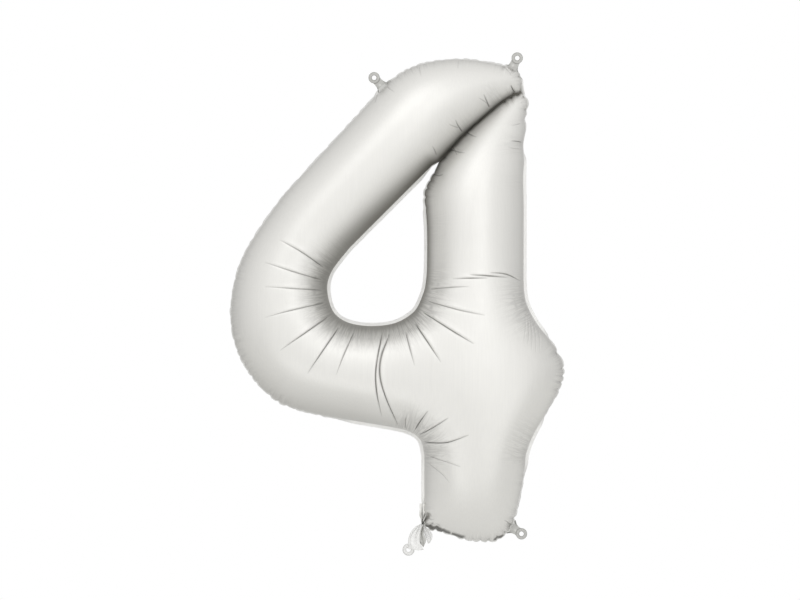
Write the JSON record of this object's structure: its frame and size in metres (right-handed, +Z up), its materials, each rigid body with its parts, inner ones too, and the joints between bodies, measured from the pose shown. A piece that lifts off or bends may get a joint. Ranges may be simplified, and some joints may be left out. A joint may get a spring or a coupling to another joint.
{
  "type": "foil number balloon",
  "caption": "Inflated satin silver foil balloon in the shape of the numeral four, with hang tabs and a pinched filler tail holding a self-sealing valve.",
  "frame": {"origin": "centre of the eyelet in the top right hang tab, which the balloon hangs by", "axes": "+Z up along the stem, +X to the right as the numeral is read, -Y towards the reader"},
  "size_m": [0.6004, 0.209, 0.8927],
  "materials": {
    "front_foil": "satin",
    "rear_foil": "satin",
    "tab_film": "satin",
    "neck_film": "satin",
    "tail_film": "satin",
    "valve_film": "satin"
  },
  "bodies": {
    "balloon": {"front_panel": "front_foil", "rear_panel": "rear_foil", "valve_front_film": "valve_film", "valve_inlet_film": "valve_film"},
    "top_left_tab": {"top_left_hang_tab": "tab_film"},
    "top_right_tab": {"top_right_hang_tab": "tab_film"},
    "bottom_right_tab": {"bottom_right_hang_tab": "tab_film"},
    "valve_flap": {"valve_rear_film": "valve_film"},
    "neck": {"neck_gather": "neck_film"},
    "tail": {"tail_front_film": "tail_film", "valve_mouth_film": "valve_film"},
    "tail_rear": {"tail_rear_film": "tail_film"}
  },
  "joints": [
    {"name": "top_left_tab_flex", "type": "hinge", "parent": "balloon", "child": "top_left_tab", "pos_m": [-0.24122, 0, -0.04871], "axis": [-0.7314, 0, -0.682], "range_deg": [-80, 80], "stiffness_Nm_per_rad": 0.0006},
    {"name": "top_right_tab_flex", "type": "hinge", "parent": "balloon", "child": "top_right_tab", "pos_m": [-0.00738, 0, -0.01583], "axis": [-0.9063, 0, 0.4226], "range_deg": [-80, 80], "stiffness_Nm_per_rad": 0.0006},
    {"name": "bottom_right_tab_flex", "type": "hinge", "parent": "balloon", "child": "bottom_right_tab", "pos_m": [-0.00454, 0, -0.83638], "axis": [0.5592, 0, 0.829], "range_deg": [-80, 80], "stiffness_Nm_per_rad": 0.0006},
    {"name": "valve_flap_open", "type": "hinge", "parent": "balloon", "child": "valve_flap", "pos_m": [-0.14821, 0.0003, -0.76189], "axis": [-0.9004, 0, 0.435], "range_deg": [0, 12], "stiffness_Nm_per_rad": 0.0003},
    {"name": "neck_bend", "type": "hinge", "parent": "balloon", "child": "neck", "pos_m": [-0.1675, 0, -0.7995], "axis": [1, 0, 0], "range_deg": [-45, 45], "stiffness_Nm_per_rad": 0.001},
    {"name": "tail_swing", "type": "hinge", "parent": "neck", "child": "tail", "pos_m": [-0.166, 0, -0.8265], "axis": [0, 1, 0], "range_deg": [-10, 45], "stiffness_Nm_per_rad": 0.0006},
    {"name": "tail_mouth_open", "type": "hinge", "parent": "tail", "child": "tail_rear", "pos_m": [-0.166, 0, -0.8265], "axis": [1, 0, 0], "range_deg": [0, 30], "stiffness_Nm_per_rad": 0.0004}
  ]
}
